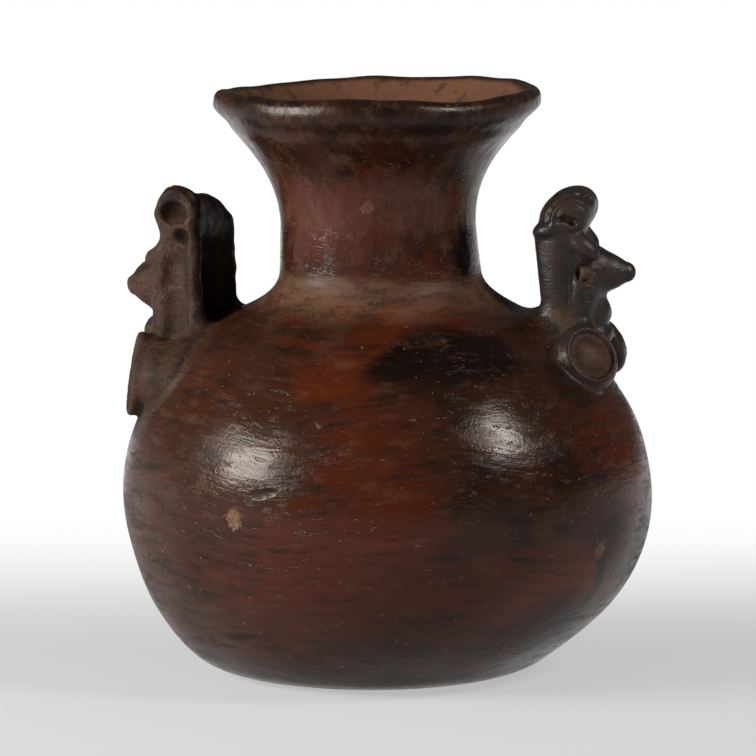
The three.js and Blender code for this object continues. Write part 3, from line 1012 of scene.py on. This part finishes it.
def clay_fields(start):
    """What the clay's finish is made from: the readings on the mesh, noises, wear and marks."""
    def reading(name):
        return start.node("ShaderNodeAttribute", output=2, attribute_name=name)

    fields = SimpleNamespace(**{name: reading(name) for name in READINGS})
    metres = start.node("ShaderNodeTexCoord", output=3)
    fields.place = metres.vector("MULTIPLY", (1 / MM, 1 / MM, 1 / MM))
    fields.height = start.node("ShaderNodeSeparateXYZ", {0: fields.place}, 2)
    fields.lugs = strongest([fields.polished_lug, fields.worn_lug])
    on_neck = fields.height.between(130, 142) * (1 - fields.lugs)
    fields.neck = on_neck * (1 - fields.inside)
    add_noises(start, fields, on_neck)
    add_wear(fields)
    add_marks(start, fields)
    return fields


def add_marks(start, fields):
    """The chips, with ragged edges, and the pore."""
    rag = start.node("ShaderNodeCombineXYZ", {0: fields.grain, 1: fields.flakes, 2: fields.grain})
    rag = rag.vector("SUBTRACT", (0.5, 0.5, 0.5))
    torn = fields.place.vector("ADD", rag.vector("MULTIPLY", (5, 5, 5)))

    def mark(place, spot, inner, outer):
        around, up = spot["half"]
        return place.near(on_jar(spot["azimuth"], spot["height"]), (around, around, up), inner, outer)

    fields.chips = strongest([mark(torn, chip, 0.7, 1.15) * chip["strength"] for chip in CHIPS])
    fields.pore = strongest([mark(fields.place, part, 0.1, 1.1) for part in PORE])
    fields.pore_hole = mark(fields.place, PORE_HOLE, 0.7, 1.1)


def slip_tone(start, f):
    """Colour of the slip: fire clouds broken up by the strokes, scuffed light and worn dark."""
    broken = (f.strokes - 0.5) * 0.9 + (f.flakes - 0.5) * 0.8 + (f.hairs - 0.5) * 0.3
    tone = start.plain(BROWN).under(SOOT_AND_SHADE, (f.mottle + broken * 0.3).between(0.50, 0.32) * 0.55)
    ember = f.ember + broken
    tone = tone.under(RED, ember.between(0.10, 0.60)).under(ORANGE, ember.between(0.60, 1.15) * 0.8)
    tone = tone.under(PLUM, (f.plum + broken).between(0.20, 0.80) * 0.85)
    tone = tone.under(ASH, (f.ash + broken).between(0.35, 1.1) * 0.35)
    tone = tone.under(SOOT_AND_SHADE, (f.soot + broken * 0.6).between(0.15, 0.80) * 0.95)
    tone = tone.under(SOOT_AND_SHADE, f.strokes.between(0.46, 0.30) * 0.45)
    tone = tone.under(ASH, f.scuffs * (f.mottle.between(0.40, 0.62) * 0.5 + f.neck * 0.25))
    tone = tone.under(DUST, f.neck * (f.wear + (f.grain - 0.5) * 0.4).between(0.54, 0.70) * 0.4)
    tone = tone.under(SOOT_AND_SHADE, f.gouges * 0.2)
    return tone.under(ASH, f.hairs.between(0.58, 0.72) * f.mottle.between(0.40, 0.60) * 0.45)


def place_tone(start, tone, f):
    """The slip with what belongs to a place: sooty rim, dusty neck foot, bare inside, the lugs, and
    painted shade in hollows and seams.
    """
    rim = f.height.between(181.5, 187.5) * (1 - f.inside)
    tone = tone.under(SOOT_AND_SHADE, rim * (f.mottle.between(0.62, 0.40) * 0.45 + 0.2))
    tone = tone.under(ASH, rim * f.scuffs * 0.4)
    tone = tone.under(DUST, f.join_dust * 0.38)
    inner_tone = start.plain(INNER).under(DUST, f.scuffs * 0.6)
    tone = tone.under(inner_tone.under(SOOT_AND_SHADE, (f.flakes + f.wear).between(0.98, 0.78) * 0.5), f.inside)
    tone = tone.under(SLATE, f.polished_lug * f.height.between(96, 120) * 0.9)
    rubbed = (f.wear + (f.grain - 0.5) * 0.3).between(0.44, 0.66)
    tone = tone.under(ASH, f.polished_lug * rubbed * 0.45)
    worn_tone = start.plain(WORN).under(DUST, f.grain.between(0.46, 0.66) * 0.4)
    worn_tone = worn_tone.under(SOOT_AND_SHADE, (f.height + f.flakes * 10).between(155, 165) * 0.8)
    worn_tone = worn_tone.under(SOOT_AND_SHADE, f.wear.between(0.52, 0.36) * 0.6)
    tone = tone.under(worn_tone, f.worn_lug * 0.9)
    # Painted shade: the worn lug's hollows darkened with soot-black.
    tone = tone.under(SOOT_AND_SHADE, f.crease * f.worn_lug * 0.7)
    dust = strongest([f.crease * (1 - f.worn_lug), f.dusty * 0.75])
    tone = tone.under(DUST, dust * ((f.flakes + f.grain * 0.5).between(0.60, 0.85) * 0.5 + 0.2))
    # The cracks are dark cracks in the clay; the seam's own darkening is painted shade where the lugs
    # join the shoulder.
    return tone.under(SOOT_AND_SHADE, f.cracks * 0.55 + f.seam * 0.3)


def clay_roughness(f):
    """How dull the clay is: rougher between strokes, where scuffed, on the lugs, at the lip and in
    the marks, and dullest inside and where dusty."""
    matt = strongest([f.inside, f.chips, f.join_dust, f.crease * 0.8])
    rough = f.strokes.between(0.62, 0.36) * 0.10 + f.grain * 0.10
    rough = rough + f.scuffs * 0.10 + f.gouges * 0.13 + 0.12
    rough = rough + f.worn_lug * 0.4 + f.polished_lug * (f.wear * 0.3) + f.ash * 0.26 + f.dusty * 0.2
    return rough + f.height.between(180, 188) * 0.1 + f.pore * 0.45 + matt * 0.4


def clay_relief(f, dots):
    """Fine height of the clay: strokes, grain and dots stand up, and marks and cracks go in."""
    relief = f.strokes * 0.35 + f.hairs * 0.14 + f.grain * 0.16 - f.gouges * 0.22 + f.scuffs * 0.1
    relief = relief + f.worn_lug * (f.grain * 0.9 + f.speckle * 0.5) + f.polished_lug * f.grain * 0.4
    relief = relief - f.chips * (2.2 - f.grain * 1.4) - f.pore * 1.6
    relief = relief - f.pore_hole * 1.2 - f.cracks * 1.2 + dots * 0.2
    inputs = {"Height": relief, "Strength": RELIEF_STRENGTH, "Distance": RELIEF_HEIGHT * MM}
    return relief.node("ShaderNodeBump", inputs)


def clay_finish():
    """Burnished red-brown slip with fire clouds, strokes, scuffs, chips, dust in its creases, and
    painted shade in hollows, seams and the pore.
    """
    material = bpy.data.materials.new("burnished_clay_finish")
    material.use_nodes = True
    tree = material.node_tree
    shader = tree.nodes["Principled BSDF"]
    shader.inputs["Specular IOR Level"].default_value = SHEEN
    start = Wire(tree)
    f = clay_fields(start)
    dots = f.speckle.between(0.69, 0.735) * (1 - f.lugs)
    tone = place_tone(start, slip_tone(start, f), f)
    tone = tone.under(RAW_CLAY, dots * 0.5)
    tone = tone.under(RAW_CLAY, f.chips * (f.grain.between(0.35, 0.6) * 0.55 + 0.3))
    # Painted shade: the pore's groove darkened and its hole painted almost black.
    tone = tone.under(SOOT_AND_SHADE, f.pore * 0.35).under(SOOT_AND_SHADE, f.pore_hole * 0.95)
    tree.links.new(tone.socket, shader.inputs["Base Color"])
    tree.links.new(clay_roughness(f).socket, shader.inputs["Roughness"])
    tree.links.new(clay_relief(f, dots).socket, shader.inputs["Normal"])
    return material


def view_axes():
    """The camera's right and the level direction from the jar towards the camera."""
    turn = math.radians(CAMERA_AZIMUTH)
    return Vector((math.cos(turn), math.sin(turn), 0)), Vector((math.sin(turn), -math.cos(turn), 0))


def make_lights():
    """Soft boxes about the jar and an even grey surround."""
    right, towards_camera = view_axes()
    for box in SOFT_BOXES:
        across, towards, up = box["towards"]
        direction = (right * across + towards_camera * towards + Vector((0, 0, up))).normalized()
        data = bpy.data.lights.new(box["name"], "AREA")
        data.shape = "RECTANGLE"
        data.size, data.size_y = box["size"]
        data.energy = box["power"]
        data.color = BOX_COLOUR
        light = bpy.data.objects.new(box["name"], data)
        light.location = Vector(LIGHT_AIM) + direction * BOX_DISTANCE
        light.rotation_euler = direction.to_track_quat("Z", "Y").to_euler()
        bpy.context.scene.collection.objects.link(light)
    world = bpy.data.worlds.new("studio")
    world.use_nodes = True
    world.node_tree.nodes["Background"].inputs["Color"].default_value = WHITE
    world.node_tree.nodes["Background"].inputs["Strength"].default_value = SURROUND
    bpy.context.scene.world = world
    bpy.context.scene.view_settings.view_transform = "Standard"


def make_floor():
    """A pale floor that turns to plain white behind the jar."""
    reach = FLOOR_HALF / MM
    corners = reach * np.array([[-1, -1, 0], [1, -1, 0], [1, 1, 0], [-1, 1, 0]])
    floor = new_piece("floor", corners, [[0, 1, 2, 3]])
    material = bpy.data.materials.new("pale_floor")
    material.use_nodes = True
    tree = material.node_tree
    shader = tree.nodes["Principled BSDF"]
    shader.inputs["Base Color"].default_value = (*FLOOR_TONE, 1)
    shader.inputs["Roughness"].default_value = FLOOR_ROUGHNESS
    shader.inputs["Emission Color"].default_value = WHITE
    shader.inputs["Emission Strength"].default_value = FLOOR_GLOW
    shader.inputs["Specular IOR Level"].default_value = FLOOR_SHEEN
    metres = Wire(tree).node("ShaderNodeTexCoord", output=3)
    away = -view_axes()[1]
    behind = metres.vector("DOT_PRODUCT", tuple(away), 1)
    pale = Wire(tree, shader.outputs[0])
    white = metres.node("ShaderNodeEmission", {"Color": WHITE, "Strength": 1.0})
    mixed = metres.node("ShaderNodeMixShader", {0: behind.between(*FLOOR_FADE), 1: pale, 2: white})
    tree.links.new(mixed.socket, tree.nodes["Material Output"].inputs["Surface"])
    material.cycles.emission_sampling = "NONE"
    floor.data.materials.append(material)


def make_camera():
    """A long lens level with the shoulder, turned towards +X and a little above the jar."""
    lift = math.radians(CAMERA_ELEVATION)
    right, towards_camera = view_axes()
    back = towards_camera * math.cos(lift) + Vector((0, 0, math.sin(lift)))
    aim = (right * CAMERA_AIM[0] + Vector((0, 0, CAMERA_AIM[1]))) * MM
    data = bpy.data.cameras.new("camera")
    data.sensor_width = SENSOR
    data.lens = SENSOR * CAMERA_DISTANCE * PIXELS_PER_MM / PHOTO_SIDE
    camera = bpy.data.objects.new("camera", data)
    camera.location = aim + back * CAMERA_DISTANCE * MM
    camera.rotation_euler = back.to_track_quat("Z", "Y").to_euler()
    bpy.context.scene.collection.objects.link(camera)
    bpy.context.scene.camera = camera


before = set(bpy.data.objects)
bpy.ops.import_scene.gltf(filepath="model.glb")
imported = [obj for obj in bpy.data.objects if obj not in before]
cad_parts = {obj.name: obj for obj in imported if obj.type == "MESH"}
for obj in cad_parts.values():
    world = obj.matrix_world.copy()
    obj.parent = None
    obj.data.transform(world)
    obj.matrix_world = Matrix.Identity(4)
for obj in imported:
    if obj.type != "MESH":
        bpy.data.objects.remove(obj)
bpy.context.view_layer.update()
make_camera()
vessel = make_vessel()
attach(vessel, "root")
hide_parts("vessel")
make_lights()
make_floor()
